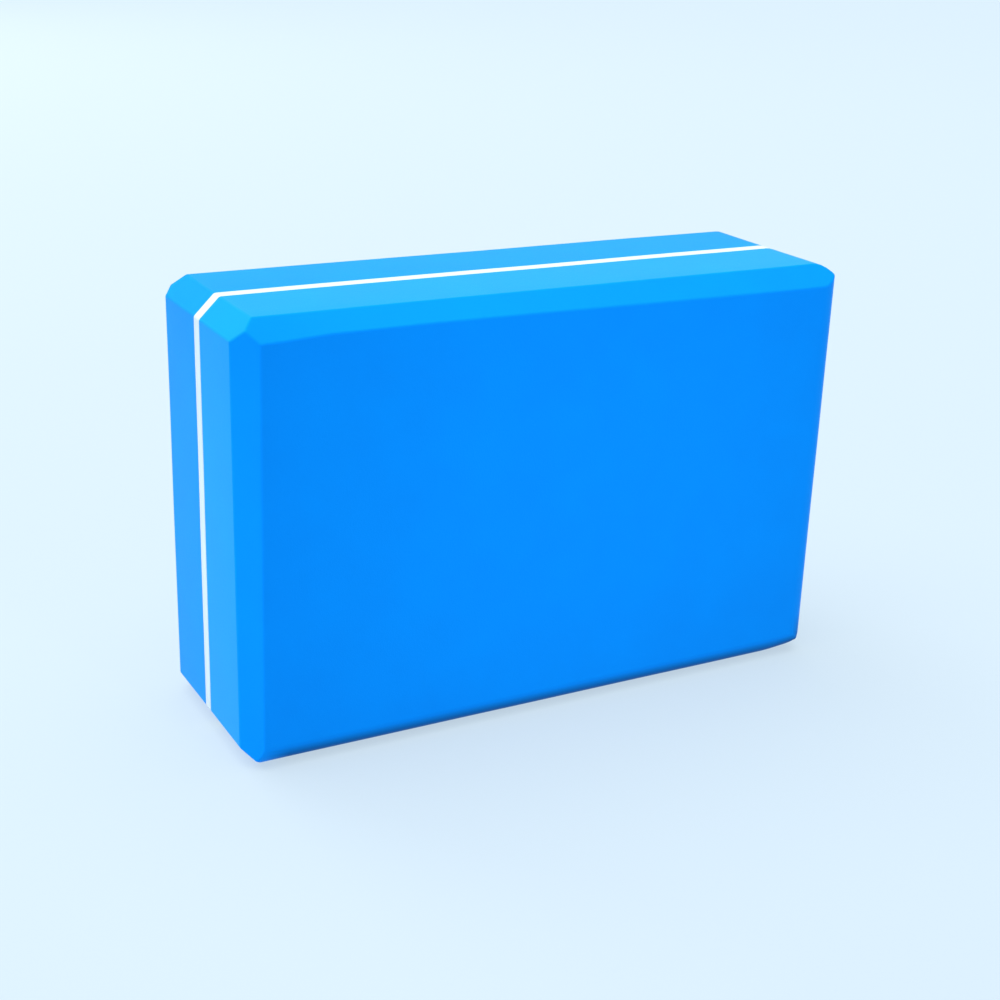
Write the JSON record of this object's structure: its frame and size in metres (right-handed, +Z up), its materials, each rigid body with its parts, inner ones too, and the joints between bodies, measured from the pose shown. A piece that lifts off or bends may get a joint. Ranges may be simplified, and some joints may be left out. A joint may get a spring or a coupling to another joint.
{
  "type": "foam block",
  "caption": "Rectangular closed-cell foam block of two thick slabs bonded to a thin white sheet, with every outer edge chamfered.",
  "frame": {"origin": "centre of the long narrow side that the block stands on", "axes": "+X along the length, +Y through the thickness from the front broad face to the rear one, +Z up"},
  "size_m": [0.23, 0.075, 0.152],
  "materials": {
    "slab_foam": "closed-cell EVA foam in bright blue, cut and ground smooth, matt with a faint fine grain",
    "sheet_foam": "closed-cell EVA foam in white, cut and ground smooth, matt with a faint fine grain"
  },
  "bodies": {
    "root": {"front_slab": "slab_foam", "middle_sheet": "sheet_foam", "rear_slab": "slab_foam"}
  },
  "joints": []
}
